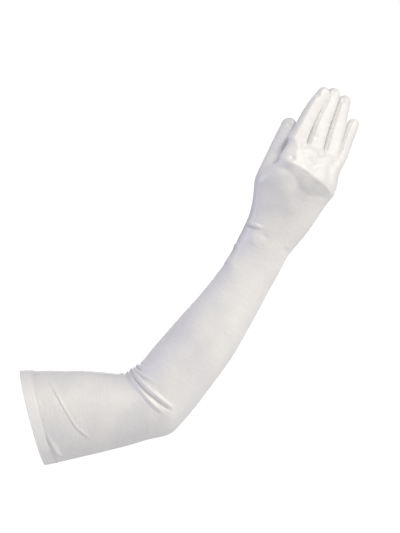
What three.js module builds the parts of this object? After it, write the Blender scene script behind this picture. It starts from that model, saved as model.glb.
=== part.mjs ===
// A long satin dress glove, about 22 inches from the fingertips to the cuff, in the form that it takes on a
// bent arm. Millimetres, +Z up. The origin is the middle of the cuff's opening, +X runs from the cuff towards
// the elbow, and the back of the hand faces -Y. One smooth outer surface is made from sections and finger
// paths, and then cut along the glove's seams into pieces, each of which gets its own thickness of cloth.
import * as THREE from 'three';

// Cloth
const WALL = 1.2; // one layer of stretch satin
const HEM_PROUD = 0.5; // how far the folded hem stands out of the sleeve
const HEM_WALL = 2.2; // two layers of satin
const SEAM_GAP = 0.3; // between two pieces that are sewn together

// Each trunk section has 20 points: 9 over the back of the hand, one on the little finger's side, 9 under the
// palm, and one on the thumb's side. Two steps of the back or the palm make one finger's width.
const COLUMNS = 20;
const BACK = 8; // column of the last point on the back, beside the little finger
const LITTLE_SIDE = 9;
const PALM = 18; // column of the last point of the palm, beside the thumb
const THUMB_SIDE = 19;
const COLUMN_STEP = 18; // degrees
const FIRST_ANGLE = -72; // of column 0, beside the thumb
const FINGER_POINTS = 8; // round a finger's section, of which points 3 and 7 are its sides
const FINGER_STEP = 45; // degrees
const ROUND_GAIN = 1.016; // smoothing draws a ring of 20 points in by this much
const FINGER_GAIN = 1.088; // and a ring of 8 by this much
const FINGER_SIDES = 0.96; // the fingers are a little flat where they lie side by side
const INDEX_FLARE = 2.2; // how far the hand's edge stands out beside the root of the index finger
const FLAT_SHARE = 0.84; // how much of the palm's width its flat back covers
const FLAT_POWER = 2.6; // how square the palm's edges are
const KNUCKLE_RISE = 2.4;
const KNUCKLE_DIP = 1.2;
const KNUCKLE_START = 0.5; // how many rows below their own section the knuckles begin to rise
const KNUCKLE_ARC = 9; // how far the line of knuckles curves out towards the fingers
const ARC_POWER = 1.3; // moves the top of that curve towards the little finger
const THENAR_ANGLE = -115; // where the ball of the thumb stands out
// How far each of the 8 points round the thumb's opening is drawn from the hand's form towards the thumb's
const THUMB_MERGE = [0.15, 0.3, 0.3, 0.45, 0.6, 0.7, 0.6, 0.3];
const TIP_REACH = 0.45; // from the last section of a finger to its tip, as a share of that section's width
const TIP_START = 0.97; // the tip points the way that the finger takes from this share of its length
const PATH_STEP = 0.05; // between the places that give a finger's direction

// The trunk's sections, from the cuff to the finger crotches. x, y and z are the middle, lean is the angle of
// the arm above +X, pitch its tilt towards -Y, twist the turn of the thumb's side towards -Y, across and deep
// the section's size, flat how flat the back and palm are, thenar the ball of the thumb, and rings the steps
// up to the next row.
const SECTIONS = table(
  ['place', 'x', 'y', 'z', 'lean', 'pitch', 'twist', 'across', 'deep', 'flat', 'thenar', 'rings'],
  ['cuff_edge', 0, 0, 0, 14.6, 0, 0, 109, 101, 0, 0, 1],
  ['hem_line', 13.4, 0, 1.2, 14.6, 0, 0, 106.5, 98, 0, 0, 1],
  ['hem_foot', 26.6, 0, 2.6, 14.2, 0, 0, 103.6, 95.8, 0, 0, 1],
  ['upper_arm', 73.1, 0, 7.5, 11.9, 0, 0, 92, 87, 0, 0, 1],
  ['above_elbow', 97.2, 0, 9.3, 12.4, 0, 0, 83.5, 83, 0, 0, 1],
  ['elbow_start', 115.1, 0, 12.4, 21.6, 0, 0, 79.2, 81, 0, 0, 2],
  ['elbow_point', 130.8, 0, 16.6, 32.6, 0, 0, 83.2, 80, 0, 0, 3],
  ['elbow_end', 142, 0, 26.3, 39.9, 0, 0, 80.4, 80, 0, 0, 2],
  ['below_elbow', 154.3, 0, 40.4, 48, 0, 0, 78.4, 79, 0, 0, 1],
  ['forearm_top', 165.1, 0, 54.4, 53, 0, 0, 77.7, 77, 0, 0, 1],
  ['forearm_full', 192.7, 0, 89, 52.3, 0, 0, 74, 71.6, 0, 0, 1],
  ['forearm_thin', 217.5, 0, 123.7, 55.5, 0, 0, 65.2, 60, 0, 0, 1],
  ['above_wrist', 239.2, 0, 157.4, 60.3, 2, 0, 58.7, 47, 0, 0, 1],
  ['wrist', 250.4, -0.5, 177.3, 60, 5, 3, 58.8, 42.5, 0.1, 0, 1],
  ['heel_of_hand', 260.1, -3, 196.3, 58.5, 10, 5, 59.6, 40, 0.25, 0, 1],
  ['hand_low', 272.4, -7, 213.5, 60.5, 16, 8, 64, 38, 0.4, 3, 1],
  ['hand_middle', 283.2, -14, 232.2, 62, 20, 13, 71, 35.5, 0.6, 8, 1],
  ['thumb_base', 293.8, -24, 252.2, 61, 20, 20, 78.4, 32, 0.85, 14, 2],
  ['knuckles', 304.4, -33, 269.6, 56.5, 3, 24, 82, 28, 1, 0, 2],
  ['crotches', 318, -26, 300, 70.6, -16, 24, 70, 22, 1, 0, 0],
);

// The trunk's pieces, each with the section where it ends.
const TRUNK_PIECES = [
  ['cuff_hem', 'hem_line'],
  ['sleeve_upper_arm', 'forearm_top'],
  ['sleeve_forearm', 'above_wrist'],
  ['sleeve_wrist', 'hand_low'],
  ['hand', 'crotches'],
];

// The fingers' middle lines, from the crotch to the tip, with their width and thickness at each point.
const FINGER_COLUMNS = ['x', 'y', 'z', 'wide', 'thick'];
const FINGERS = [
  {
    name: 'index',
    twist: 22,
    path: table(
      FINGER_COLUMNS,
      [292.6, -35, 306.5, 19.4, 18.5],
      [303.1, -29.5, 329.3, 16.9, 16.6],
      [313, -23.5, 347, 15.4, 15.2],
      [326.6, -17, 365.6, 13, 12.4],
    ),
  },
  {
    name: 'middle',
    twist: 22,
    path: table(
      FINGER_COLUMNS,
      [312, -27.5, 298.6, 18.4, 18],
      [320.2, -21, 325.1, 17.6, 16.6],
      [328.2, -14.5, 344, 15.8, 15.4],
      [337.4, -7, 365.6, 12.8, 12],
    ),
  },
  {
    name: 'ring',
    twist: 22,
    path: table(
      FINGER_COLUMNS,
      [329.8, -19.5, 290.8, 17.2, 17],
      [336.4, -13.5, 315, 16.9, 16],
      [343.6, -7, 337.5, 16.2, 15.2],
      [350, -1, 357.6, 13, 12.2],
    ),
  },
  {
    name: 'little',
    twist: 26,
    path: table(
      FINGER_COLUMNS,
      [342.7, -10.6, 287.6, 14.4, 14.6],
      [349.9, -5.5, 307.5, 14.4, 14],
      [355, -1.5, 319.5, 14, 13.4],
      [360.2, 2.5, 332, 12, 11.5],
    ),
  },
];
const THUMB = {
  name: 'thumb',
  twist: -25,
  path: table(
    FINGER_COLUMNS,
    [261.3, -21.5, 273.5, 20, 20],
    [271.4, -17.5, 294.5, 19.8, 18.5],
    [281, -15.5, 315.5, 18.8, 17.5],
    [287.2, -14, 331.8, 15, 14],
  ),
};
const FINGER_RINGS = 4;
const THUMB_RINGS = 3;

// The folds of the sleeve. Each runs from one place on the trunk to another: row counts the rows of SECTIONS,
// and angle goes round the arm from -90 at the inner elbow through 0 at -Y. Height is how far the ridge
// stands out, and width is its half width.
const FOLDS = table(
  ['place', 'row', 'angle', 'endRow', 'endAngle', 'height', 'width'],
  ['inner_elbow_first', 5.35, -125, 5.3, -52, 1.6, 2.6],
  ['inner_elbow_lower', 5.95, -160, 5.98, 26, 3, 3],
  ['inner_elbow_middle', 6.5, -165, 6.93, 30, 3, 3],
  ['inner_elbow_upper', 6.98, -140, 7.07, -14, 2.4, 2.4],
  ['inner_elbow_top', 7.3, -125, 7.45, -42, 2.4, 2.2],
  ['heel_crease', 14.25, -95, 14.6, -25, 1.2, 2.4],
);
const HOLLOW_SHARE = 0.45; // the crease beside a ridge, as a share of its height
const HOLLOW_REACH = 1.7; // how far it lies from the ridge, in half widths
const FADE_SHARE = 0.25; // of a fold's length, over which it grows to its height at each end

const SATIN = { color: 0xeceae8, roughness: 0.42, metalness: 0 };
const HEM_SATIN = { color: 0xf2f0ee, roughness: 0.45, metalness: 0 };

// Turns rows of values into objects with named columns.
function table(columns, ...rows) {
  return rows.map((row) => Object.fromEntries(columns.map((name, i) => [name, row[i]])));
}

const radians = THREE.MathUtils.degToRad;
const rowOf = (name) => SECTIONS.findIndex(({ place }) => place === name);
const KNUCKLE_ROW = rowOf('knuckles');

// The value of one column at a place between two rows, on a smooth curve through all the rows.
function between(rows, place, column) {
  const last = rows.length - 1;
  const at = (i) => rows[Math.min(Math.max(i, 0), last)][column];
  const i = Math.min(Math.floor(place), last - 1);
  const [a, b, c, d] = [at(i - 1), at(i), at(i + 1), at(i + 2)];
  const t = place - i;
  return b + 0.5 * t * (c - a + t * (2 * a - 5 * b + 4 * c - d + t * (3 * (b - c) + d - a)));
}

// Three directions of a section: along the limb, out of the back of the hand, and across to the little
// finger.
function frameAlong(along, twist) {
  const back = new THREE.Vector3(0, -1, 0);
  back.addScaledVector(along, -back.dot(along)).normalize();
  const across = new THREE.Vector3().crossVectors(along, back);
  const turn = radians(twist);
  return {
    along,
    back: back.clone().multiplyScalar(Math.cos(turn)).addScaledVector(across, Math.sin(turn)),
    across: across.clone().multiplyScalar(Math.cos(turn)).addScaledVector(back, -Math.sin(turn)),
  };
}

function trunkSection(row) {
  const value = (column) => between(SECTIONS, row, column);
  const [lean, pitch] = [radians(value('lean')), radians(value('pitch'))];
  const along = new THREE.Vector3(
    Math.cos(lean) * Math.cos(pitch),
    -Math.sin(pitch),
    Math.sin(lean) * Math.cos(pitch),
  );
  return {
    middle: new THREE.Vector3(value('x'), value('y'), value('z')),
    halfAcross: value('across') / 2,
    halfDeep: value('deep') / 2,
    flat: THREE.MathUtils.clamp(value('flat'), 0, 1),
    thenar: Math.max(value('thenar'), 0),
    ...frameAlong(along, value('twist')),
  };
}

function onSection(section, across, back) {
  return section.middle.clone().addScaledVector(section.across, across).addScaledVector(section.back, back);
}

// A point of the trunk's round form, at an angle from the back towards the little finger's side.
function roundPoint(section, degrees) {
  const angle = radians(degrees);
  return onSection(section, section.halfAcross * Math.sin(angle), section.halfDeep * Math.cos(angle));
}

// A point of the palm's flat form, whose columns are spaced evenly under the fingers.
function flatPoint(section, column) {
  if (column === LITTLE_SIDE) return onSection(section, section.halfAcross, 0);
  if (column === THUMB_SIDE) return onSection(section, -section.halfAcross, 0);
  const onBack = column <= BACK;
  const step = onBack ? column : PALM - column;
  const share = FLAT_SHARE * (step / (BACK / 2) - 1);
  const height = (1 - Math.abs(share) ** FLAT_POWER) ** (1 / FLAT_POWER);
  return onSection(section, section.halfAcross * share, section.halfDeep * height * (onBack ? 1 : -1));
}

function trunkPoint(row, column) {
  const section = trunkSection(row);
  const degrees = FIRST_ANGLE + column * COLUMN_STEP;
  section.halfAcross *= ROUND_GAIN;
  section.halfDeep *= ROUND_GAIN;
  const point = roundPoint(section, degrees).lerp(flatPoint(section, column), section.flat);
  if (column <= BACK) {
    const arc = Math.max(1 - Math.abs(row - KNUCKLE_ROW), 0) * KNUCKLE_ARC;
    point.addScaledVector(section.along, arc * Math.sin(Math.PI * (column / LITTLE_SIDE) ** ARC_POWER));
  }
  const bulge = Math.max(Math.cos(radians(degrees - THENAR_ANGLE)), 0) ** 2 * section.thenar;
  point.addScaledVector(section.across, bulge * Math.sin(radians(degrees)));
  point.addScaledVector(section.back, bulge * Math.cos(radians(degrees)));
  return { point, row, degrees };
}

// How far the knuckles, and the dips between them, stand out of the back of the hand.
function knuckleRise(row, column) {
  const start = KNUCKLE_ROW - KNUCKLE_START;
  if (column > BACK || row < start) return 0;
  const share = (row - start) / (rowOf('crotches') - start);
  return Math.sin(Math.PI * share) * (column % 2 ? KNUCKLE_RISE : -KNUCKLE_DIP);
}

// The points of a finger's section, a share of the way from its crotch to its tip.
function fingerSection(finger, share) {
  const place = share * (finger.path.length - 1);
  const value = (column) => between(finger.path, place, column);
  const pointAt = (p) => new THREE.Vector3(...['x', 'y', 'z'].map((c) => between(finger.path, p, c)));
  const along = pointAt(place + PATH_STEP).sub(pointAt(place - PATH_STEP)).normalize();
  const section = { middle: pointAt(place), ...frameAlong(along, finger.twist) };
  const [wide, thick] = [value('wide') / 2, value('thick') / 2].map((half) => half * FINGER_GAIN);
  return Array.from({ length: FINGER_POINTS }, (_, i) => {
    const angle = radians((i - 1) * FINGER_STEP);
    const side = i % 4 === 3 ? FINGER_SIDES : 1;
    return onSection(section, wide * side * Math.sin(angle), thick * Math.cos(angle));
  });
}

function middleOf(points) {
  return points.reduce((sum, point) => sum.add(point), new THREE.Vector3()).divideScalar(points.length);
}

// The cage: a coarse mesh of four-sided faces, each named after the piece of the glove that it belongs to.
function makeCage() {
  const points = [];
  const faces = [];
  const add = ({ point, row = null, degrees = null }) => points.push({ point, row, degrees }) - 1;
  const face = (piece, ...corners) => faces.push({ piece, corners });
  const join = (lower, upper, pieceOf) => {
    lower.forEach((_, i) => {
      const next = (i + 1) % lower.length;
      const piece = pieceOf(i);
      if (piece) face(piece, lower[i], lower[next], upper[next], upper[i]);
    });
  };

  const rows = SECTIONS.flatMap(({ rings }, i) => Array.from({ length: rings }, (_, k) => i + k / rings));
  const [thumbRow, crotchRow] = ['thumb_base', 'crotches'].map(rowOf);
  const pieceOfRing = (row) => TRUNK_PIECES.find(([, end]) => row < rowOf(end))[0];
  const rings = rows.map((row) =>
    Array.from({ length: COLUMNS }, (_, column) => {
      const made = trunkPoint(row, column);
      made.point.addScaledVector(trunkSection(row).back, knuckleRise(row, column));
      return add(made);
    }),
  );

  // The fingers' first sections meet in the crotches, where neighbours share three points.
  const bases = FINGERS.map((finger) => fingerSection(finger, 0));
  const shared = (i, right, left) => {
    if (i === 0) return bases[0][left].clone().addScaledVector(trunkSection(crotchRow).across, -INDEX_FLARE);
    if (i === FINGERS.length) return bases[i - 1][right];
    return bases[i - 1][right].clone().lerp(bases[i][left], 0.5);
  };
  const seams = Array.from({ length: FINGERS.length + 1 }, (_, i) => ({
    back: add({ point: shared(i, 2, 0) }),
    side: add({ point: shared(i, 3, 7) }),
    palm: add({ point: shared(i, 4, 6) }),
  }));
  const middles = bases.map((base) => ({ back: add({ point: base[1] }), palm: add({ point: base[5] }) }));
  const overBack = middles.flatMap(({ back }, i) => [seams[i].back, back]);
  const underPalm = middles.flatMap(({ palm }, i) => [seams[i].palm, palm]);
  const [first, last] = [seams.at(0), seams.at(-1)];
  const crotchRing = [...overBack, last.back, last.side, last.palm, ...underPalm.reverse(), first.side];

  rings.forEach((ring, i) => {
    const upper = rings[i + 1] ?? crotchRing;
    const atThumb = rows[i] >= thumbRow && rows[i] < KNUCKLE_ROW;
    const inThumb = (column) => atThumb && (column === PALM || column === PALM - 1);
    join(ring, upper, (column) => (inThumb(column) ? null : pieceOfRing(rows[i])));
  });

  // A finger or thumb grows out of a loop of 8 points, and ends in a rounded cap.
  const grow = (loop, finger, ringCount, pieceOf) => {
    let lower = loop;
    for (let k = 1; k <= ringCount; k += 1) {
      const upper = fingerSection(finger, k / ringCount).map((point) => add({ point }));
      join(lower, upper, (i) => pieceOf(i, k));
      lower = upper;
    }
    const [start, end] = [TIP_START, 1].map((share) => middleOf(fingerSection(finger, share)));
    const reach = finger.path.at(-1).wide * TIP_REACH;
    const tip = add({ point: end.clone().addScaledVector(end.clone().sub(start).normalize(), reach) });
    const piece = pieceOf(0, ringCount + 1);
    const [a, b, c, d, e, f, g, h] = lower;
    face(piece, a, b, tip, h);
    face(piece, b, c, d, tip);
    face(piece, tip, d, e, f);
    face(piece, h, tip, f, g);
  };

  FINGERS.forEach((finger, i) => {
    const [near, far] = [seams[i], seams[i + 1]];
    const { back, palm } = middles[i];
    const loop = [near.back, back, far.back, far.side, far.palm, palm, near.palm, near.side];
    const [before, after] = [FINGERS[i - 1], FINGERS[i + 1]];
    const pieceOf = (side, k) => {
      if (k > FINGER_RINGS) return 'hand';
      if ((side === 2 || side === 3) && after) return `fourchette_${finger.name}_${after.name}`;
      if ((side === 6 || side === 7) && before) return `fourchette_${before.name}_${finger.name}`;
      return 'hand';
    };
    grow(loop, finger, FINGER_RINGS, pieceOf);
  });

  // The thumb grows out of the opening left beside the ball of the thumb.
  const [low, mid, high] = rings.slice(rows.indexOf(thumbRow));
  const [near, far] = [THUMB_SIDE, PALM - 1];
  const thumbLoop = [low[near], mid[near], high[near], high[PALM], high[far], mid[far], low[far], low[PALM]];
  fingerSection(THUMB, 0).forEach((point, i) => points[thumbLoop[i]].point.lerp(point, THUMB_MERGE[i]));
  grow(thumbLoop, THUMB, THUMB_RINGS, () => 'thumb');
  return { points, faces };
}

// One round of Catmull-Clark smoothing, which makes four faces of each.
function smooth({ points, faces }) {
  const made = [];
  const mean = (list, weights = list.map(() => 1 / list.length)) => {
    const point = new THREE.Vector3();
    list.forEach((p, i) => point.addScaledVector(p.point, weights[i]));
    const placed = list.every((p) => p.row !== null);
    if (!placed) return { point, row: null, degrees: null };
    const row = list.reduce((sum, p, i) => sum + p.row * weights[i], 0);
    const [sine, cosine] = [Math.sin, Math.cos].map((part) =>
      list.reduce((sum, p, i) => sum + part(radians(p.degrees)) * weights[i], 0),
    );
    return { point, row, degrees: THREE.MathUtils.radToDeg(Math.atan2(sine, cosine)) };
  };
  const edges = new Map();
  const edgeOf = (a, b) => {
    const key = a < b ? `${a},${b}` : `${b},${a}`;
    if (!edges.has(key)) edges.set(key, { ends: [a, b], faces: [] });
    return edges.get(key);
  };
  const around = new Map();
  faces.forEach(({ corners }, f) => {
    made.push(mean(corners.map((c) => points[c])));
    corners.forEach((c, i) => {
      const edge = edgeOf(c, corners[(i + 1) % 4]);
      edge.faces.push(f);
      if (!around.has(c)) around.set(c, { faces: [], edges: new Set() });
      around.get(c).faces.push(f);
      around.get(c).edges.add(edge);
      around.get(c).edges.add(edgeOf(corners[(i + 3) % 4], c));
    });
  });
  for (const edge of edges.values()) {
    const ends = edge.ends.map((c) => points[c]);
    const open = edge.faces.length < 2;
    const placed = mean(ends);
    const { point } = open ? placed : mean([...ends, ...edge.faces.map((f) => made[f])]);
    edge.index = made.push({ ...placed, point }) - 1;
  }
  const moved = new Map();
  for (const [c, { faces: near, edges: spokes }] of around) {
    const here = points[c];
    const open = [...spokes].filter((edge) => edge.faces.length < 2);
    const point = new THREE.Vector3();
    if (open.length) {
      const ends = open.map((edge) => points[edge.ends.find((e) => e !== c)].point);
      point.addScaledVector(here.point, 3 / 4);
      ends.forEach((end) => point.addScaledVector(end, 1 / 8));
    } else {
      const n = near.length;
      const middles = [...spokes].map((edge) => mean(edge.ends.map((e) => points[e])).point);
      near.forEach((f) => point.addScaledVector(made[f].point, 1 / n ** 2));
      middles.forEach((middle) => point.addScaledVector(middle, 2 / n ** 2));
      point.addScaledVector(here.point, (n - 3) / n);
    }
    moved.set(c, made.push({ ...here, point }) - 1);
  }
  const split = faces.flatMap(({ piece, corners }, f) =>
    corners.map((c, i) => ({
      piece,
      corners: [
        moved.get(c),
        edgeOf(c, corners[(i + 1) % 4]).index,
        f,
        edgeOf(corners[(i + 3) % 4], c).index,
      ],
    })),
  );
  return { points: made, faces: split };
}

// The outward direction at each point, from the faces around it, each by the angle of its corner there.
function normalsOf({ points, faces }) {
  const normals = points.map(() => new THREE.Vector3());
  for (const { corners } of faces) {
    corners.forEach((c, i) => {
      const [next, previous] = [1, corners.length - 1].map((step) =>
        points[corners[(i + step) % corners.length]].point.clone().sub(points[c].point),
      );
      normals[c].addScaledVector(next.clone().cross(previous).normalize(), next.angleTo(previous));
    });
  }
  return normals.map((normal) => normal.normalize());
}

// How far the sleeve's surface stands out at a place, because of the folds that pass near it.
function foldHeight(row, degrees) {
  return FOLDS.reduce((sum, fold) => {
    const share = (degrees - fold.angle) / (fold.endAngle - fold.angle);
    if (share <= 0 || share >= 1) return sum;
    const ridgeRow = fold.row + share * (fold.endRow - fold.row);
    const [here, top] = [row, ridgeRow].map((place) => roundPoint(trunkSection(place), degrees));
    const away = here.distanceTo(top) / fold.width;
    const ridge = Math.exp(-(away ** 2));
    const hollow = HOLLOW_SHARE * Math.exp(-((away - HOLLOW_REACH) ** 2));
    const fade = Math.min(1, share / FADE_SHARE, (1 - share) / FADE_SHARE);
    return sum + fold.height * fade * (ridge - hollow);
  }, 0);
}

function addFolds(surface) {
  const normals = normalsOf(surface);
  surface.points.forEach((p, i) => {
    if (p.row !== null) p.point.addScaledVector(normals[i], foldHeight(p.row, p.degrees));
  });
  return surface;
}

// The mean way from each point to the middles of the given faces around it.
function waysInto(surface, faces) {
  const ways = new Map();
  for (const corners of faces) {
    const middle = new THREE.Vector3();
    corners.forEach((c) => middle.addScaledVector(surface.points[c].point, 1 / corners.length));
    for (const c of corners) {
      const way = middle.clone().sub(surface.points[c].point).normalize();
      ways.set(c, [...(ways.get(c) ?? []), way]);
    }
  }
  ways.forEach((list, c) => {
    const sum = list.reduce((total, way) => total.add(way), new THREE.Vector3());
    ways.set(c, sum.divideScalar(list.length));
  });
  return ways;
}

// One piece of cloth: the faces with its name, given a thickness, with its sewn edges drawn in by half the
// gap.
function makePiece(surface, normals, name, inner, outer) {
  const cornersOf = (list) => list.map(({ corners }) => corners);
  const faces = cornersOf(surface.faces.filter(({ piece }) => piece === name));
  const own = waysInto(surface, faces);
  const others = waysInto(surface, cornersOf(surface.faces.filter(({ piece }) => piece !== name)));
  const edges = new Map();
  faces.forEach((corners) =>
    corners.forEach((c, i) => {
      const next = corners[(i + 1) % corners.length];
      edges.set(`${c},${next}`, [c, next]);
    }),
  );
  const rim = [...edges.values()].filter(([a, b]) => !edges.has(`${b},${a}`));
  const ids = [...own.keys()];
  const order = new Map(ids.map((c, i) => [c, i]));
  const place = (c, out) => {
    const point = surface.points[c].point.clone().addScaledVector(normals[c], out);
    if (others.has(c)) {
      const away = own.get(c).clone().sub(others.get(c));
      away.addScaledVector(normals[c], -away.dot(normals[c])).normalize();
      point.addScaledVector(away, SEAM_GAP / 2);
    }
    return point;
  };
  const positions = [...ids.map((c) => place(c, outer)), ...ids.map((c) => place(c, inner))];
  const outside = (c) => order.get(c);
  const inside = (c) => order.get(c) + ids.length;
  const triangles = [];
  for (const [a, b, c, d] of faces) {
    const gap = (i, j) => surface.points[i].point.distanceTo(surface.points[j].point);
    const [p, q, r, s] = gap(a, c) > gap(b, d) ? [b, c, d, a] : [a, b, c, d];
    triangles.push(...[p, q, r, p, r, s].map(outside));
    triangles.push(...[p, r, q, p, s, r].map(inside));
  }
  for (const [a, b] of rim) {
    const [p, q, r, s] = [outside(b), outside(a), inside(a), inside(b)];
    triangles.push(...(a < b ? [p, q, r, p, r, s] : [p, q, s, q, r, s]));
  }
  const geometry = new THREE.BufferGeometry();
  const numbers = positions.flatMap((point) => point.toArray());
  geometry.setAttribute('position', new THREE.Float32BufferAttribute(numbers, 3));
  geometry.setIndex(triangles);
  geometry.computeVertexNormals();
  return geometry;
}

function makeGlove() {
  const surface = addFolds(smooth(makeCage()));
  const normals = normalsOf(surface);
  const glove = new THREE.Group();
  for (const name of new Set(surface.faces.map(({ piece }) => piece))) {
    const isHem = name === 'cuff_hem';
    const outer = isHem ? HEM_PROUD : 0;
    const inner = isHem ? HEM_PROUD - HEM_WALL : -WALL;
    const geometry = makePiece(surface, normals, name, inner, outer);
    const mesh = new THREE.Mesh(geometry, new THREE.MeshStandardMaterial(isHem ? HEM_SATIN : SATIN));
    mesh.name = name;
    glove.add(mesh);
  }
  return glove;
}

export default makeGlove();
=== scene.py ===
"""A long white satin dress glove, in its worn form with a bent elbow, above a pale floor.

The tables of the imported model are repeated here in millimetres, with more rings between the sections and a
slightly wider thumb. The cage that they give is smoothed, folded and creased, cut along the seams into
pieces, and scaled to metres at the end.
"""
import math

import bpy
import numpy as np
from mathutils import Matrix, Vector
from mathutils.kdtree import KDTree


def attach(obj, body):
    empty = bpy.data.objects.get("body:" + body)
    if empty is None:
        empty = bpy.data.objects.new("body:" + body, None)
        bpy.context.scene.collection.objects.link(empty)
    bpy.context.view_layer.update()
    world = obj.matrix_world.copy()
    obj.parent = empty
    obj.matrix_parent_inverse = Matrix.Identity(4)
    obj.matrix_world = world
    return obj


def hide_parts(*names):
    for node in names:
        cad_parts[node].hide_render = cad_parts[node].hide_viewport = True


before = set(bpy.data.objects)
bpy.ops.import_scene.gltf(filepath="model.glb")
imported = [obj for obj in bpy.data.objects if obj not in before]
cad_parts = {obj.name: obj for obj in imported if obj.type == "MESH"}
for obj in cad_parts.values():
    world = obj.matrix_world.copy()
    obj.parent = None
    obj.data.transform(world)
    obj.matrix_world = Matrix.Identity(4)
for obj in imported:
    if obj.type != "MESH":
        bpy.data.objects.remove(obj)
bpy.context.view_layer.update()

MM = 0.001

# Cloth, in millimetres
WALL = 1.2  # one layer of stretch satin
HEM_PROUD = 0.5  # how far the folded hem stands out of the sleeve
HEM_WALL = 2.2
HEM_ROLL = 1.0  # how far the hem's folded edge is rounded out
HEM_ROLL_ROWS = 0.5  # the hem's edge is rounded out below this row, and the other edges are sewn
HEM_GROOVE = 0.35  # how deep the stitches draw the hem in
HEM_STITCH_ROW = 0.875  # where they run, in rows of the sections
HEM_GROOVE_ROWS = 0.05  # and the half width of their groove
SEAM_GAP = 0.1
SEAM_DEPTH = 0.4  # the groove along a seam
SEAM_HALF_WIDTH = 1.0
PUCKER_HEIGHT = 0.16
PUCKER_REACH = 3.2
PUCKER_STEP = 4.6
RIM_STEPS = 5
LEVELS = 3  # rounds of smoothing

# Stitches round the hem
STITCHES = 104
STITCH_LENGTH = 2.4
STITCH_RADIUS = 0.28
STITCH_LIFT = 0.12
STITCH_BEND = 0.3
STITCH_TAPER = 0.9
STITCH_RINGS = 7
STITCH_SIDES = 6
STITCH_SEARCH = 0.3  # the cloth under a stitch is looked for this many rows either way

# The satin's surface: sizes in millimetres, noise scales a metre, and shares of the relief's height
WAVE_TURN = 2 * math.pi / 20  # a wave texture makes 20 radians of wave in a unit
RIB_WOBBLE = {"Distortion": 0.8, "Detail": 1, "Detail Scale": 0.6}
YARNS = (1100, 90, 90)
FLOATS = (60, 700, 700)
MOTTLE = 3.2
PATCH = 34
RIB_SHARE = 0.16
YARN_SHARE = 0.8
MOTTLE_SHARE = 1.2
RELIEF = 0.25
# The tone of the satin is a mix of its yarns and patches, and its gloss follows the floats
YARN_TONE = 0.4
PATCH_TONE = 0.6
TONE_RANGE = (0.36, 0.64)
FLOAT_RANGE = (0.3, 0.7)
SHEEN_ROUGHNESS = 0.5
# For each slot: the dull and the bright colour, the roughness from and to, and the step of the ribs
SATINS = {
    "satin": ((0.8, 0.792, 0.805), (0.895, 0.884, 0.86), (0.3, 0.42), 0.9),
    "hem_satin": ((0.89, 0.885, 0.875), (0.94, 0.935, 0.925), (0.38, 0.48), 1.1),
}
THREAD_COLOURS = ((0.78, 0.77, 0.75), (0.9, 0.89, 0.87))
THREAD_ROUGHNESS = 0.5
THREAD_GRAIN = 0.4

# The seam along the little finger's side
SIDE_SEAM_ANGLE = 104
SIDE_SEAM_WIDTH = 0.9
SIDE_SEAM_STEP = 3.6
SIDE_PUCKER_SHARE = 0.22
SIDE_SEAM_END = 455  # how far along the glove it runs

# The trunk's sections have 20 points: 9 on the back, one on the little finger's side, 9 under the palm, and
# one on the thumb's side.
COLUMNS = 20
BACK = 8
LITTLE_SIDE = 9
PALM = 18
THUMB_SIDE = 19
COLUMN_STEP = 18  # degrees
FIRST_ANGLE = -72
# A digit's sections have 8 points, from the thumb's side over the back. One is in the middle of the back,
# one in the middle of the palm side, and three face the neighbour on either side.
FINGER_POINTS = 8
FINGER_STEP = 45
FINGER_BACK = 1
FINGER_PALM = 5
FACING_THUMB = (0, 7, 6)
FACING_LITTLE = (2, 3, 4)
ROUND_GAIN = 1.016  # smoothing draws a ring of 20 points in by this much
FINGER_GAIN = 1.105  # and a ring of 8 by this much
INDEX_FLARE = 3  # how far the base of the index finger stands out to the thumb
# How full a section is at each of its points
ALL_ROUND = (1,) * FINGER_POINTS
THUMB_FULL = (1, 1, 1.22, 1.1, 1, 1, 1, 1)
INDEX_FULL = (1.12, 1, 1, 1, 1, 1, 1, 1)
# The fingers are held together, so the cloth of each is drawn out to its neighbour's, and its back is a
# little square there: how far the three points on that side reach, as shares of the way to where they meet.
PRESSED = (0.93, 1.03, 0.93)
PRESSED_GAP = 0.25
PRESSED_MOST = 3.5  # a point is drawn out by this much at most
PRESSED_FROM = 6  # fingers further apart than this aren't pressed
PRESSED_RANGE = 4  # and they are pressed fully when they are nearer by this much
PRESSED_TESTS = 60  # places tried along the neighbour
CORNER_LIFT = {FACING_THUMB: 0.32, FACING_LITTLE: 0.2}  # in half thicknesses
INDEX_LIFT = 0.25  # the index finger's edge towards the thumb, in half thicknesses
# Where the hand is flat, its section is a box with rounded sides
FLAT_SHARE = 0.84
FLAT_POWER = 2.6
KNUCKLE_RISE = 2.4
KNUCKLE_DIP = 1.2
KNUCKLE_ARC = 9  # how far the middle of the knuckles' row stands towards the fingers
ARC_POWER = 1.3
THENAR_ANGLE = -115  # of the ball of the thumb
THUMB_MERGE = (0.15, 0.3, 0.3, 0.45, 0.6, 0.7, 0.6, 0.3)  # the opening's points, drawn to the thumb's base
# A digit's cap: where its direction is taken, its length in widths, and in rows
NEAR_TIP = 0.97
TIP_REACH = 0.45
TIP_ROWS = 0.1
THUMB_ROWS = (17.4, 19.2)  # the weave runs on from the hand into the thumb

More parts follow.
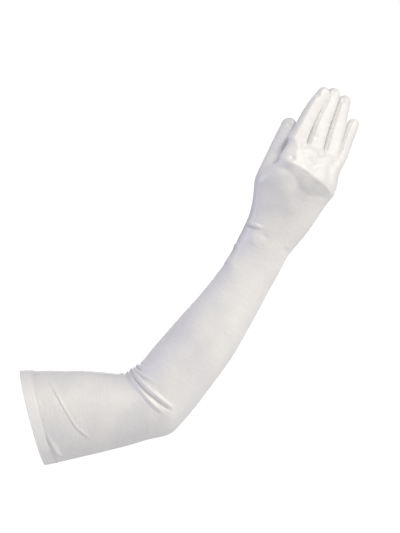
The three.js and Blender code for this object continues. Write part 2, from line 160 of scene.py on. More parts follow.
# place, then x, y, z, lean, pitch, twist, across, deep, flat, thenar, and the rings up to the next section
SECTIONS = [
    ("cuff_edge", 0, 0, 0, 14.6, 0, 0, 109, 101, 0, 0, 3),
    ("hem_line", 13.4, 0, 1.2, 14.6, 0, 0, 106.5, 98, 0, 0, 2),
    ("hem_foot", 26.6, 0, 2.6, 14.2, 0, 0, 103.6, 95.8, 0, 0, 6),
    ("upper_arm", 73.1, 0, 7.5, 11.9, 0, 0, 92, 87, 0, 0, 3),
    ("above_elbow", 97.2, 0, 9.3, 12.4, 0, 0, 83.5, 83, 0, 0, 3),
    ("elbow_start", 115.1, 0, 12.4, 21.6, 0, 0, 79.2, 81, 0, 0, 4),
    ("elbow_point", 130.8, 0, 16.6, 32.6, 0, 0, 83.2, 80, 0, 0, 4),
    ("elbow_end", 142, 0, 26.3, 39.9, 0, 0, 80.4, 80, 0, 0, 4),
    ("below_elbow", 154.3, 0, 40.4, 48, 0, 0, 78.4, 79, 0, 0, 3),
    ("forearm_top", 165.1, 0, 54.4, 53, 0, 0, 77.7, 77, 0, 0, 5),
    ("forearm_full", 192.7, 0, 89, 52.3, 0, 0, 74, 71.6, 0, 0, 5),
    ("forearm_thin", 217.5, 0, 123.7, 55.5, 0, 0, 65.2, 60, 0, 0, 5),
    ("above_wrist", 239.2, 0, 157.4, 60.3, 2, 0, 58.7, 47, 0, 0, 3),
    ("wrist", 250.4, -0.5, 177.3, 60, 5, 3, 58.8, 42.5, 0.1, 0, 3),
    ("heel_of_hand", 260.1, -3, 196.3, 58.5, 10, 5, 59.6, 40, 0.25, 0, 3),
    ("hand_low", 272.4, -7, 213.5, 60.5, 16, 8, 64, 38, 0.4, 3, 3),
    ("hand_middle", 283.2, -14, 232.2, 62, 20, 13, 71, 35.5, 0.6, 8, 3),
    ("thumb_base", 293.8, -24, 252.2, 61, 20, 20, 78.4, 32, 0.85, 14, 2),
    ("knuckles", 304.4, -33, 269.6, 56.5, 3, 24, 82, 28, 1, 0, 3),
    ("crotches", 318, -26, 300, 70.6, -16, 24, 70, 22, 1, 0, 0),
]
TRUNK = np.array([row[1:11] for row in SECTIONS], float)
RINGS = [row[11] for row in SECTIONS]
ROW = {row[0]: i for i, row in enumerate(SECTIONS)}
LAST_ROW = ROW["crotches"]
KNUCKLE_START = ROW["knuckles"] - 0.5

# twist, fullness, then the middle line's points with their width and thickness
FINGERS = {
    "index": (22, INDEX_FULL, [
        (292.6, -35, 306.5, 19.4, 18.5),
        (303.1, -29.5, 329.3, 16.9, 16.6),
        (313, -23.5, 347, 15.4, 15.2),
        (326.6, -17, 365.6, 13, 12.4),
    ]),
    "middle": (22, ALL_ROUND, [
        (312, -27.5, 298.6, 18.4, 18),
        (320.2, -21, 325.1, 17.6, 16.6),
        (328.2, -14.5, 344, 15.8, 15.4),
        (337.4, -7, 365.6, 12.8, 12),
    ]),
    "ring": (22, ALL_ROUND, [
        (329.8, -19.5, 290.8, 17.2, 17),
        (336.4, -13.5, 315, 16.9, 16),
        (343.6, -7, 337.5, 16.2, 15.2),
        (350, -1, 357.6, 13, 12.2),
    ]),
    "little": (26, ALL_ROUND, [
        (342.7, -10.6, 287.6, 14.4, 14.6),
        (349.9, -5.5, 307.5, 14.4, 14),
        (355, -1.5, 319.5, 14, 13.4),
        (360.2, 2.5, 332, 12, 11.5),
    ]),
}
THUMB = (-25, THUMB_FULL, [
    (262, -21.5, 273.5, 21.4, 20),
    (272.6, -17.5, 294.5, 22.2, 18.5),
    (281.8, -15.5, 315.5, 20.4, 17.5),
    (287.5, -14, 331.8, 15.6, 14),
])
FINGER_RINGS = 8
THUMB_RINGS = 6
FINGER_LENGTH = 66
FINGER_RADIUS = 8  # round a finger, the weave is laid out at this radius
FINGER_BLEND = 0.1  # and it comes to that in this part of a row

# Each piece of the trunk, and the place where it ends
TRUNK_PIECES = [
    ("cuff_hem", "hem_line"),
    ("sleeve_upper_arm", "forearm_top"),
    ("sleeve_forearm", "above_wrist"),
    ("sleeve_wrist", "hand_low"),
    ("hand", "crotches"),
]
PIECES = [name for name, _ in TRUNK_PIECES] + [
    "thumb",
    "fourchette_index_middle",
    "fourchette_middle_ring",
    "fourchette_ring_little",
]
ONE_CLOTH = [PIECES.index(name) for name, _ in TRUNK_PIECES[1:]]  # these meet without a seam

# The folds that go round the glove: a few points of each (angle round the glove, row, height), then the
# ridge's half width, and the crease beside it: its depth as a share of the ridge's height, its distance,
# and its half width. A distance below zero is on the cuff's side.
FOLDS = {
    "elbow_first": (
        [(-130, 5, 0), (-95, 4.95, 1.2), (-72, 4.93, 0.8), (-50, 4.95, 0)],
        2.4, 0.4, -3.6, 1.6),
    "elbow_lower": (
        [(-160, 5.85, 0), (-110, 5.85, 2.6), (-60, 5.88, 2.6), (-34, 6, 2.4), (-9, 6.16, 2), (7, 6.31, 1.7),
         (16, 6.41, 1.2), (27, 6.54, 0)],
        2.2, 0.35, -4.4, 1.3),
    "elbow_middle": (
        [(-165, 6.4, 0), (-110, 6.42, 3), (-60, 6.47, 3), (-31, 6.59, 2.8), (-13, 6.78, 2.5),
         (5, 6.94, 2.2), (22, 7.07, 1.5), (34, 7.17, 0)],
        2.3, 0.6, -4.6, 1.3),
    "elbow_upper": (
        [(-140, 6.8, 0), (-100, 6.82, 2.2), (-63, 6.86, 2), (-31, 7.22, 1), (-16, 7.38, 0)],
        1.6, 0.4, -3, 1.2),
    "elbow_top": (
        [(-125, 7.1, 0), (-95, 7.14, 2.4), (-74, 7.2, 2.2), (-52, 7.5, 1), (-38, 7.7, 0)],
        1.8, 0.5, -3, 1.4),
    "elbow_last": (
        [(-110, 7.7, 0), (-63, 7.7, 0.5), (-45, 7.88, 0.6), (-30, 8.05, 0)],
        1.8, 0.5, -3, 1.4),
    "drag_crease": (
        [(-52, 2.05, 0), (-40, 2.14, 0.5), (-18, 2.26, 0.7), (-2, 2.35, 0.7), (16, 2.46, 0.7),
         (29, 2.6, 0.6), (38, 2.72, 0)],
        1.5, 1.3, -1.6, 0.7),
    "hem_fold_low": (
        [(18, 1.02, 0), (27, 1.08, 0.7), (45, 1.31, 1), (65, 1.81, 0.8), (80, 2.3, 0)],
        1.8, 0.8, -2.8, 1.2),
    "hem_fold_high": (
        [(28, 1.3, 0), (36, 1.4, 0.6), (52, 1.6, 0.8), (66, 2.15, 0.6), (78, 2.6, 0)],
        1.8, 0.8, -2.8, 1.2),
    "wrist_low": (
        [(-110, 12.95, 0), (-90, 13.04, 0.8), (-60, 13.2, 0.5), (-40, 13.3, 0)],
        2.6, 0.5, -4, 2.2),
    "heel_crease": (
        [(-85, 14.55, 0), (-60, 14.66, 2), (-46, 14.74, 2), (-28, 14.72, 0)],
        1.6, 0.6, -3, 1.5),
}
FOLD_MARGIN = 1.5  # a fold reaches this many rows past its ends

# The knuckles' ridge is a kink in the cloth, placed as the camera sees it in the plane y = 0: its points
# (x, z) with its height, and how far the cloth falls away below it.
KNUCKLE_RIDGE = [
    (270, 295, 1.2, 7),
    (277, 290, 2.2, 8),
    (283, 287.2, 2.6, 9),
    (290, 285.5, 2.8, 10),
    (298, 280.6, 3.2, 12),
    (307.5, 276, 4.8, 17),
    (312.5, 270.5, 5.8, 20),
    (321, 264.8, 5.6, 20),
    (328.5, 257.5, 3.8, 14),
    (333.5, 250, 1.4, 8),
]
RIDGE_ABOVE = 16
RIDGE_SHARPNESS = 0.002
RIDGE_ROLL = 1.2  # a thin roll of cloth along the top of the kink
RIDGE_ROLL_WIDTH = 1.3

# Dents, and swells with a depth below zero, placed in the same way: x, z, depth, radius
DENTS = [
    # between and below the knuckles
    (290.4, 290.6, 2.2, 3), (303.5, 303.5, 2.6, 3), (305, 297, 1.4, 3.5), (308.5, 288, 2.6, 4.5),
    (313, 281.5, 4, 5.5), (322.8, 295, 2.6, 2.8), (338.5, 285, 2.4, 2.8), (281.9, 279, 1.8, 5),
    # along the fingers, and at their tips
    (325.6, 335.4, 0.5, 2), (316.7, 314.2, 0.6, 3), (319, 361.5, 1.5, 2.2), (337.4, 363.4, 1.7, 2.2),
    (348.5, 355.6, 1.8, 2.3), (286.5, 328, 1.8, 2.4), (282.5, 322, 0.8, 2.6),
    # on the back of the hand
    (259.6, 254.8, 2.2, 9), (282, 254.8, -1.4, 9), (288, 236, -1.2, 9), (286, 278, 1.2, 4),
    # on the wrist
    (246, 199, -1.3, 5), (259, 203, 1.3, 4.5), (221, 174.5, -0.9, 5), (282, 186, 0.9, 4),
    (224, 168, -1, 3),
    # over the elbow
    (151, 4, -2, 9),
]

# The stage, in metres, degrees and watts
FLOOR_CORNERS = [(-1.1, -1.3, -0.32), (1.5, -1.3, -0.32), (1.5, 1.3, -0.32), (-1.1, 1.3, -0.32)]
FLOOR_COLOUR = (0.9, 0.9, 0.9)
FLOOR_ROUGHNESS = 0.8
BACKDROP = ((1, 1, 1), 1.1)  # what the camera sees behind the glove
SKY = ((0.94, 0.93, 1), 0.24)  # and what lights it from all sides
GLOVE_MIDDLE = (0.19, 0, 0.17)
LAMP_DISTANCE = 2.7
LAMP_SIZE = 0.9
# azimuth to the right of the camera, elevation, power, colour
LAMPS = {
    "key": (38, 40, 39, (1, 0.978, 0.91)),
    "right": (70, 22, 17, (1, 0.968, 0.9)),
    "front": (-20, 5, 5, (1, 0.98, 0.96)),
    "left": (-85, 5, 23, (0.78, 0.78, 1)),
    "back": (180, 8, 15, (0.98, 0.98, 1)),
}
CAMERA_X, CAMERA_Z, CAMERA_DISTANCE = 0.1868, 0.1691, 3.0
CAMERA_SENSOR = 36
CAMERA_LENS = 180.9


def between(rows, places):
    """The values at places between the rows, on a smooth curve through all the rows."""
    places = np.atleast_1d(np.asarray(places, float))
    last = len(rows) - 1
    i = np.clip(np.floor(places).astype(int), 0, last - 1)
    a, b, c, d = (rows[np.clip(i + k, 0, last)] for k in (-1, 0, 1, 2))
    t = (places - i)[:, None]
    return b + 0.5 * t * (c - a + t * (2 * a - 5 * b + 4 * c - d + t * (3 * (b - c) + d - a)))


def unit(vectors):
    return vectors / np.maximum(np.linalg.norm(vectors, axis=-1, keepdims=True), 1e-9)


def frames(along, twist):
    """The directions out of the back of the hand and across to the little finger."""
    back = unit(np.array([0.0, -1.0, 0.0]) + along * along[:, 1:2])
    across = np.cross(along, back)
    turn = np.radians(twist)[:, None]
    return back * np.cos(turn) + across * np.sin(turn), across * np.cos(turn) - back * np.sin(turn)


def trunk_frames(rows):
    """The middle, the directions, the half sizes, the flatness and the ball of the thumb at some rows."""
    x, y, z, lean, pitch, twist, across, deep, flat, thenar = between(TRUNK, rows).T
    lean, pitch = np.radians(lean), np.radians(pitch)
    along = np.stack([np.cos(lean) * np.cos(pitch), -np.sin(pitch), np.sin(lean) * np.cos(pitch)], 1)
    back, side = frames(along, twist)
    middle = np.stack([x, y, z], 1)
    return middle, along, back, side, across / 2, deep / 2, np.clip(flat, 0, 1), np.maximum(thenar, 0)


def round_points(rows, degrees):
    """Points of the trunk's round form, at angles from the back towards the little finger's side."""
    middle, _, back, side, half_across, half_deep, _, _ = trunk_frames(rows)
    angle = np.radians(degrees)
    sideways, outward = half_across * np.sin(angle), half_deep * np.cos(angle)
    return middle + side * sideways[:, None] + back * outward[:, None]


def trunk_points(rows, columns):
    """Points of the trunk: round in the sleeve, flatter in the hand, with the thumb's ball and knuckles."""
    middle, along, back, side, half_across, half_deep, flat, thenar = trunk_frames(rows)
    half_across, half_deep = half_across * ROUND_GAIN, half_deep * ROUND_GAIN
    degrees = columns * COLUMN_STEP + FIRST_ANGLE
    angle = np.radians(degrees)
    sine, cosine = np.sin(angle), np.cos(angle)
    on_back = columns <= BACK
    step = np.where(on_back, columns, PALM - columns)
    share = np.clip(FLAT_SHARE * (step / (BACK / 2) - 1), -1, 1)
    height = (1 - np.abs(share) ** FLAT_POWER) ** (1 / FLAT_POWER) * np.where(on_back, 1, -1)
    at_side = (columns == LITTLE_SIDE) | (columns == THUMB_SIDE)
    share = np.where(at_side, np.where(columns == LITTLE_SIDE, 1, -1), share)
    height = np.where(at_side, 0, height)
    bulge = np.maximum(np.cos(angle - math.radians(THENAR_ANGLE)), 0) ** 2 * thenar
    sideways = half_across * (sine * (1 - flat) + share * flat) + bulge * sine
    outward = half_deep * (cosine * (1 - flat) + height * flat) + bulge * cosine
    arc = np.maximum(1 - np.abs(rows - ROW["knuckles"]), 0) * KNUCKLE_ARC
    arc = np.where(on_back, arc * np.sin(np.pi * (np.minimum(columns, BACK) / (BACK + 1)) ** ARC_POWER), 0)
    knuckle_share = np.maximum((rows - KNUCKLE_START) / (LAST_ROW - KNUCKLE_START), 0)
    rise = np.where(columns % 2 == 1, KNUCKLE_RISE, -KNUCKLE_DIP) * np.sin(np.pi * knuckle_share)
    outward = outward + np.where(on_back, rise, 0)
    return middle + side * sideways[:, None] + back * outward[:, None] + along * arc[:, None]


def press(points, values, back, neighbour, facing):
    """Draws the facing points of a finger's sections out to the finger beside it, where that is near."""
    path = np.array(neighbour[2], float)
    others = between(path, np.linspace(0, len(path) - 1, PRESSED_TESTS))
    gaps = others[None, :, :3] - values[:, None, :3]
    nearest = np.linalg.norm(gaps, axis=2).argmin(axis=1)
    gap = gaps[np.arange(len(values)), nearest]
    length = np.linalg.norm(gap, axis=1)
    way = unit(gap)
    both = values[:, 3] + others[nearest, 3]
    # The two meet where the gap between their middles is shared out by their widths.
    reach = length * values[:, 3] / both - PRESSED_GAP
    closeness = np.clip((PRESSED_FROM - (length - both / 2)) / PRESSED_RANGE, 0, 1)
    lift = CORNER_LIFT[facing] * values[:, 4] / 2 * closeness
    points[:, facing[0]] += back * lift[:, None]
    for corner, share in zip(facing, PRESSED):
        now = ((points[:, corner] - values[:, :3]) * way).sum(axis=1)
        points[:, corner] += way * (np.clip(reach * share - now, 0, PRESSED_MOST) * closeness)[:, None]


def finger_points(finger, shares):
    """The points of a digit's sections, at shares of the way from its crotch to its tip."""
    twist, fullness, path = finger
    path = np.array(path, float)
    places = np.atleast_1d(shares) * (len(path) - 1)
    values = between(path, places)
    step = 0.05
    along = unit(between(path, places + step)[:, :3] - between(path, places - step)[:, :3])
    back, side = frames(along, np.full(len(places), twist))
    angle = np.radians((np.arange(FINGER_POINTS) - FINGER_BACK) * FINGER_STEP)
    sideways = values[:, 3:4] / 2 * FINGER_GAIN * np.sin(angle)
    outward = values[:, 4:5] / 2 * FINGER_GAIN * np.cos(angle)
    spread = side[:, None] * sideways[..., None] + back[:, None] * outward[..., None]
    points = values[:, None, :3] + spread * np.array(fullness)[:, None]
    if finger is FINGERS["index"]:
        points[:, 0] += back * (INDEX_LIFT * values[:, 4:5] / 2)
    fingers = list(FINGERS.values())
    if finger in fingers:
        i = fingers.index(finger)
        if i > 0:
            press(points, values, back, fingers[i - 1], FACING_THUMB)
        if i + 1 < len(fingers):
            press(points, values, back, fingers[i + 1], FACING_LITTLE)
    return points


def make_cage():
    """A coarse mesh of four-sided faces: its points, their rows and angles, its faces and their pieces."""
    rows = np.array([i + k / n for i, n in enumerate(RINGS) for k in range(n)])
    grid_rows, grid_columns = np.repeat(rows, COLUMNS), np.tile(np.arange(COLUMNS), len(rows))
    points = [Vector(p) for p in trunk_points(grid_rows, grid_columns)]
    marks = list(zip(grid_rows, grid_columns * COLUMN_STEP + FIRST_ANGLE))
    faces, pieces = [], []

    def add(point, row, degrees):
        points.append(Vector(point))
        marks.append((row, degrees))
        return len(points) - 1

    def join(lower, upper, piece_of):
        """Faces between two rings, apart from those that belong to no piece."""
        for i, corner in enumerate(lower):
            following = (i + 1) % len(lower)
            piece = piece_of(i)
            if piece:
                faces.append((corner, lower[following], upper[following], upper[i]))
                pieces.append(PIECES.index(piece))

    def grow(loop, finger, count, piece_of, first_row=LAST_ROW, last_row=LAST_ROW + 1):
        """Rings of a finger out of a loop of 8 points, and its rounded cap."""
        lower = loop
        for k in range(1, count + 1):
            ring = finger_points(finger, k / count)[0]
            row = first_row + (last_row - first_row) * k / count
            upper = [add(p, row, (i - FINGER_BACK) * FINGER_STEP) for i, p in enumerate(ring)]
            join(lower, upper, lambda i, k=k: piece_of(i, k))
            lower = upper
        before, end = finger_points(finger, [NEAR_TIP, 1]).mean(axis=1)
        reach = finger[2][-1][3] * TIP_REACH
        tip = add(end + unit(end - before) * reach, last_row + TIP_ROWS, 0)
        a, b, c, d, e, f, g, h = lower
        faces.extend([(a, b, tip, h), (b, c, d, tip), (tip, d, e, f), (h, tip, f, g)])
        pieces.extend([PIECES.index(piece_of(0, count + 1))] * 4)

    fingers = list(FINGERS.values())
    names = list(FINGERS)
    bases = [finger_points(finger, 0)[0] for finger in fingers]
    crotch_side = trunk_frames([LAST_ROW])[3][0]

    def shared(i, right, left):
        """A point between the bases of two fingers, or at the side of the first or the last."""
        if i == 0:
            return bases[0][left] - crotch_side * INDEX_FLARE
        if i == len(fingers):
            return bases[i - 1][right]
        return (bases[i - 1][right] + bases[i][left]) / 2

    corners = list(zip(FACING_LITTLE, FACING_THUMB, (0, 90, 180)))
    seams = [
        [add(shared(i, right, left), LAST_ROW, angle) for right, left, angle in corners]
        for i in range(len(fingers) + 1)
    ]
    backs = [add(base[FINGER_BACK], LAST_ROW, 0) for base in bases]
    palms = [add(base[FINGER_PALM], LAST_ROW, 180) for base in bases]
    crotch_ring = [corner for i, back in enumerate(backs) for corner in (seams[i][0], back)]
    crotch_ring += [seams[-1][0], seams[-1][1], seams[-1][2]]
    crotch_ring += [corner for i in reversed(range(len(palms))) for corner in (palms[i], seams[i][2])]
    crotch_ring += [seams[0][1]]

    def piece_of_row(row):
        return next(piece for piece, end in TRUNK_PIECES if row < ROW[end])

    rings = [list(range(i * COLUMNS, (i + 1) * COLUMNS)) for i in range(len(rows))]
    for i, ring in enumerate(rings):
        at_thumb = ROW["thumb_base"] <= rows[i] < ROW["knuckles"]
        opening = (PALM, PALM - 1) if at_thumb else ()
        upper = rings[i + 1] if i + 1 < len(rings) else crotch_ring
        join(ring, upper, lambda column: None if column in opening else piece_of_row(rows[i]))

    for i, (name, finger) in enumerate(FINGERS.items()):
        near, far = seams[i], seams[i + 1]
        loop = [near[0], backs[i], far[0], far[1], far[2], palms[i], near[2], near[1]]

        def piece_of(side, k):
            if k <= FINGER_RINGS and side in (2, 3) and i + 1 < len(names):
                return f"fourchette_{name}_{names[i + 1]}"
            if k <= FINGER_RINGS and side in (6, 7) and i > 0:
                return f"fourchette_{names[i - 1]}_{name}"
            return "hand"

        grow(loop, finger, FINGER_RINGS, piece_of)

    low, mid, high = rings[list(rows).index(ROW["thumb_base"]):][:3]
    near, far = THUMB_SIDE, PALM - 1
    loop = [low[near], mid[near], high[near], high[PALM], high[far], mid[far], low[far], low[PALM]]
    for corner, point, share in zip(loop, finger_points(THUMB, 0)[0], THUMB_MERGE):
        points[corner] = points[corner].lerp(Vector(point), share)
    grow(loop, THUMB, THUMB_RINGS, lambda side, k: "thumb", *THUMB_ROWS)
    return points, np.array(marks, float), faces, pieces


def add_object(name, data):
    thing = bpy.data.objects.new(name, data)
    bpy.context.scene.collection.objects.link(thing)
    return thing


def cloth_places(row, sine, cosine, thumb):
    """Where each point lies in the cloth: its length along the glove, and its place round the limb."""
    knots = [*range(LAST_ROW + 1), LAST_ROW + FINGER_BLEND]
    radius = np.interp(row, knots, [*(TRUNK[:, 6] / 2), FINGER_RADIUS])
    steps = np.linalg.norm(np.diff(TRUNK[:, :3], axis=0), axis=1)
    lengths = np.concatenate([[0], np.cumsum(steps), [steps.sum() + FINGER_LENGTH]])
    along = np.interp(row, np.arange(len(lengths)), lengths)
    cloth = np.stack([along, radius * sine, radius * cosine], 1)
    side = TRUNK[ROW["thumb_base"], 6] / 2
    cloth[thumb, 1] = FINGER_RADIUS * sine[thumb] - side
    cloth[thumb, 2] = FINGER_RADIUS * cosine[thumb]
    return cloth


def smoothed(cage, levels):
    """The cage after some rounds of smoothing, as arrays."""
    points, marks, faces, pieces = cage
    coarse = bpy.data.meshes.new("cage")
    coarse.from_pydata(points, [], faces)
    angle = np.radians(marks[:, 1])
    for name, values in (("row", marks[:, 0]), ("sine", np.sin(angle)), ("cosine", np.cos(angle))):
        layer = coarse.attributes.new(name, "FLOAT", "POINT")
        layer.data.foreach_set("value", values.astype(np.float32))
    layer = coarse.attributes.new("piece", "INT", "FACE")
    layer.data.foreach_set("value", np.array(pieces, np.int32))
    cage_object = add_object("cage", coarse)
    cage_object.modifiers.new("smooth", "SUBSURF").levels = levels
    evaluated = cage_object.evaluated_get(bpy.context.evaluated_depsgraph_get())
    fine = bpy.data.meshes.new_from_object(evaluated)
    bpy.data.objects.remove(cage_object)

    def read(name, count):
        values = np.zeros(count, np.float32)
        fine.attributes[name].data.foreach_get("value", values)
        return values.astype(float)

    count = len(fine.vertices)
    places = np.zeros(count * 3, np.float32)
    fine.vertices.foreach_get("co", places)
    corners = np.zeros(len(fine.loops), np.int32)
    fine.loops.foreach_get("vertex_index", corners)
    labels = np.zeros(len(fine.polygons), np.int32)
    fine.attributes["piece"].data.foreach_get("value", labels)
    row, sine, cosine = (read(name, count) for name in ("row", "sine", "cosine"))
    faces = corners.reshape(-1, 4)
    is_thumb = labels == PIECES.index("thumb")
    surface = {
        "points": places.reshape(-1, 3).astype(float),
        "faces": faces,
        "pieces": labels,
        "row": row,
        "degrees": np.degrees(np.arctan2(sine, cosine)),
        "cloth": cloth_places(row, sine, cosine, np.setdiff1d(faces[is_thumb], faces[~is_thumb])),
        "thumb_points": np.unique(faces[is_thumb]),
    }
    bpy.data.meshes.remove(fine)
    bpy.data.meshes.remove(coarse)
    return surface


def normals_of(surface):
    points, faces = surface["points"], surface["faces"]
    a, b, c, d = (points[faces[:, i]] for i in range(4))
    across = np.cross(c - a, d - b)
    normals = np.zeros_like(points)
    for i in range(4):
        np.add.at(normals, faces[:, i], across)
    return unit(normals)


def curve(places, knots, values):
    """The values at places between the knots, on a smooth curve through all the knots."""
    slopes = np.gradient(values, knots)
    i = np.clip(np.searchsorted(knots, places) - 1, 0, len(knots) - 2)
    step = knots[i + 1] - knots[i]
    t = np.clip((places - knots[i]) / step, 0, 1)
    rising = t * t * (3 - 2 * t)
    bend = step * t * (1 - t) * ((1 - t) * slopes[i] - t * slopes[i + 1])
    return values[i] * (1 - rising) + values[i + 1] * rising + bend


def fold_heights(surface):
    """How far the surface stands out at each point, because of the folds that pass near it."""
    heights = np.zeros(len(surface["points"]))
    for path, width, crease_share, crease_place, crease_width in FOLDS.values():
        angles, rows, ridges = np.array(path, float).T
        near = (surface["degrees"] > angles[0]) & (surface["degrees"] < angles[-1])
        near &= (surface["row"] > rows.min() - FOLD_MARGIN) & (surface["row"] < rows.max() + FOLD_MARGIN)
        degrees = surface["degrees"][near]
        ridge_row = curve(degrees, angles, rows)
        gap = round_points(surface["row"][near], degrees) - round_points(ridge_row, degrees)
        side = np.sign(surface["row"][near] - ridge_row) * np.linalg.norm(gap, axis=1)
        crease = crease_share * np.exp(-(((side - crease_place) / crease_width) ** 2))
        heights[near] += curve(degrees, angles, ridges) * (np.exp(-((side / width) ** 2)) - crease)
    return heights


def as_seen(surface):
    """Each point as the camera sees it in the plane y = 0, and whether it faces the camera."""
    eye = np.array([CAMERA_X, -CAMERA_DISTANCE, CAMERA_Z]) / MM
    ways = surface["points"] - eye
    seen = eye + ways * (-eye[1] / ways[:, 1])[:, None]
    return seen[:, [0, 2]], (ways * surface["normals"]).sum(axis=1) < 0


def from_path(places, path):
    """How far each place is from a path of steps, below zero on its right, and how far along it."""
    away, along = np.full(len(places), np.inf), np.zeros(len(places))
    for i, (start, end) in enumerate(zip(path, path[1:])):
        way = end - start
        share = np.clip(((places - start) @ way) / (way @ way), 0, 1)
        gap = places - start - share[:, None] * way
        side = np.where(way[0] * gap[:, 1] > way[1] * gap[:, 0], 1, -1)
        distance = np.linalg.norm(gap, axis=1)
        nearer = distance < np.abs(away)
        away = np.where(nearer, distance * side, away)
        along = np.where(nearer, i + share, along)
    return away, along


def mark_heights(surface):
    """The knuckles' ridge and the dents, on the side that faces the camera."""
    seen, facing = as_seen(surface)
    ridge = np.array(KNUCKLE_RIDGE, float)
    away, along = from_path(seen, ridge[:, :2])
    top = np.interp(along, np.arange(len(ridge)), ridge[:, 2])
    below = np.interp(along, np.arange(len(ridge)), ridge[:, 3])
    slope = np.abs(away) / np.where(away > 0, RIDGE_ABOVE, below)
    heights = top * np.maximum(1 - np.sqrt(slope ** 2 + RIDGE_SHARPNESS), 0)
    heights += RIDGE_ROLL * top / ridge[:, 2].max() * np.exp(-((away / RIDGE_ROLL_WIDTH) ** 2))
    heights[surface["thumb_points"]] = 0
    for x, z, depth, radius in DENTS:
        heights -= depth * np.exp(-(((seen - (x, z)) ** 2).sum(axis=1)) / radius ** 2)
    return np.where(facing, heights, 0)


def search_tree(surface, corners):
    """A tree that finds the nearest of some of the surface's points."""
    tree = KDTree(len(corners))
    for corner in corners:
        tree.insert(surface["points"][corner], corner)
    tree.balance()
    return tree


def seam_points(surface):
    """The points where two pieces are sewn together, other than the hem."""
    touching = {}
    kinds = np.where(np.isin(surface["pieces"], ONE_CLOTH), PIECES.index("hand"), surface["pieces"])
    sewn = kinds != PIECES.index("cuff_hem")
    for corners, kind in zip(surface["faces"][sewn].tolist(), kinds[sewn].tolist()):
        for corner in corners:
            touching.setdefault(corner, set()).add(kind)
    return [corner for corner, found in touching.items() if len(found) > 1]


def seam_distances(surface):
    """How far each point of the hand is from the nearest seam."""
    distances = np.full(len(surface["points"]), np.inf)
    tree = search_tree(surface, seam_points(surface))
    for i in np.flatnonzero(surface["row"] > ROW["hand_low"]):
        distances[i] = tree.find(surface["points"][i])[2]
    return distances


def shape(surface):
    """Adds the folds, the marks and the seams' grooves to the smooth surface."""
    surface["normals"] = normals_of(surface)
    heights = fold_heights(surface) + mark_heights(surface)
    from_seam = seam_distances(surface)
    puckers = np.sin(2 * np.pi / PUCKER_STEP * surface["cloth"][:, 0])
    heights -= SEAM_DEPTH * np.exp(-((from_seam / SEAM_HALF_WIDTH) ** 2))
    heights += PUCKER_HEIGHT * puckers * np.exp(-((from_seam / PUCKER_REACH) ** 2))
    heights -= HEM_GROOVE * np.exp(-((surface["row"] - HEM_STITCH_ROW) / HEM_GROOVE_ROWS) ** 2)
    surface["points"] = surface["points"] + surface["normals"] * heights[:, None]
    surface["normals"] = normals_of(surface)
    return surface


def rim_of(corners):
    """The edges on the border of some faces, in the direction of their faces."""
    edges = {(face[i], face[(i + 1) % 4]) for face in corners.tolist() for i in range(4)}
    return sorted((a, b) for a, b in edges if (b, a) not in edges)


def piece_mesh(name, surface):
    """One piece of cloth: its outer faces, its inner ones, and its rims rounded over between them."""
    is_hem = name == "cuff_hem"
    top, wall = (HEM_PROUD, HEM_WALL) if is_hem else (0, WALL)
    faces = surface["faces"][surface["pieces"] == PIECES.index(name)]
    ids, flat = np.unique(faces, return_inverse=True)
    corners = flat.reshape(-1, 4)
    points, normals, rows = surface["points"][ids].copy(), surface["normals"][ids], surface["row"][ids]

    # The edges along which one cloth runs on into another piece have no rim.
    others = np.isin(surface["pieces"], ONE_CLOTH) & (surface["pieces"] != PIECES.index(name))
    same_cloth = np.isin(ids, surface["faces"][others]) & (not is_hem)
    rim = [(a, b) for a, b in rim_of(corners) if not (same_cloth[a] and same_cloth[b])]

    # At the rims, the way out of the piece along the cloth
    away = np.zeros_like(points)
    for a, b in rim:
        way = np.cross(points[b] - points[a], normals[a])
        away[a] += way
        away[b] += way
    away = unit(away)
    at_cuff = rows < HEM_ROLL_ROWS
    points -= away * np.where(at_cuff, 0, SEAM_GAP / 2)[:, None]
    points += normals * top

    layers = [points, points - normals * wall]
    shown = [normals, -normals]
    count = len(ids)
    quads = [corners, corners[:, ::-1] + count]
    ends = np.array(sorted({corner for edge in rim for corner in edge}), int)
    place = {corner: i for i, corner in enumerate(ends.tolist())}
    start = 2 * count
    for k in range(RIM_STEPS + 1):
        turn = math.pi * k / RIM_STEPS
        roll = np.where(at_cuff[ends], HEM_ROLL, 0)[:, None] * math.sin(turn)
        depth = wall * (1 - math.cos(turn)) / 2
        layers.append(points[ends] - normals[ends] * depth + away[ends] * roll)
        shown.append(normals[ends] * math.cos(turn) + away[ends] * math.sin(turn))
    edges = np.array([(place[a], place[b]) for a, b in rim], int).reshape(-1, 2)
    for k in range(RIM_STEPS):
        first, second = (start + k * len(ends) + edges).T
        quads.append(np.column_stack([second, first, first + len(ends), second + len(ends)]))

    mesh = bpy.data.meshes.new(name)
    mesh.from_pydata(np.concatenate(layers) * MM, [], np.concatenate(quads).tolist())
    mesh.shade_smooth()
    mesh.normals_split_custom_set_from_vertices(np.concatenate(shown))
    sources = np.concatenate([ids, ids] + [ids[ends]] * (RIM_STEPS + 1))
    cloth = mesh.attributes.new("cloth", "FLOAT_VECTOR", "POINT")
    cloth.data.foreach_set("vector", (surface["cloth"][sources] * MM).astype(np.float32).ravel())
    return mesh


